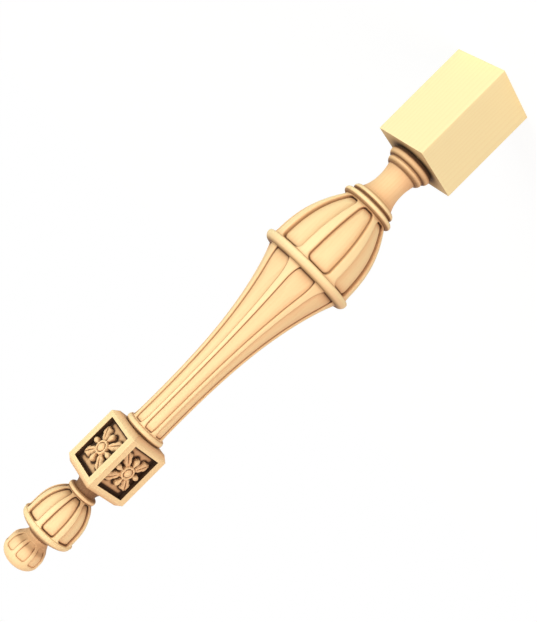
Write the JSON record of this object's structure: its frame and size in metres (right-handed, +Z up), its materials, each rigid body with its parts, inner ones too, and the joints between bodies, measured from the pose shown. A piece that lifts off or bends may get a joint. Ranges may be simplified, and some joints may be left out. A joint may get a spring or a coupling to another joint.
{
  "type": "stair baluster",
  "caption": "Carved wooden stair baluster: plain square base block, panelled bulb and tapering fluted shaft, rosette block and a small bulb and bun cap.",
  "frame": {"origin": "middle of the plain square block's end face, on the surface that the baluster stands on", "axes": "+Z up the baluster's axis to the bun at its top, X and Y square to the sides of the block"},
  "size_m": [0.1445, 0.1446, 0.8991],
  "materials": {
    "wood": "satin"
  },
  "bodies": {
    "root": {"baluster": "wood"}
  },
  "joints": []
}
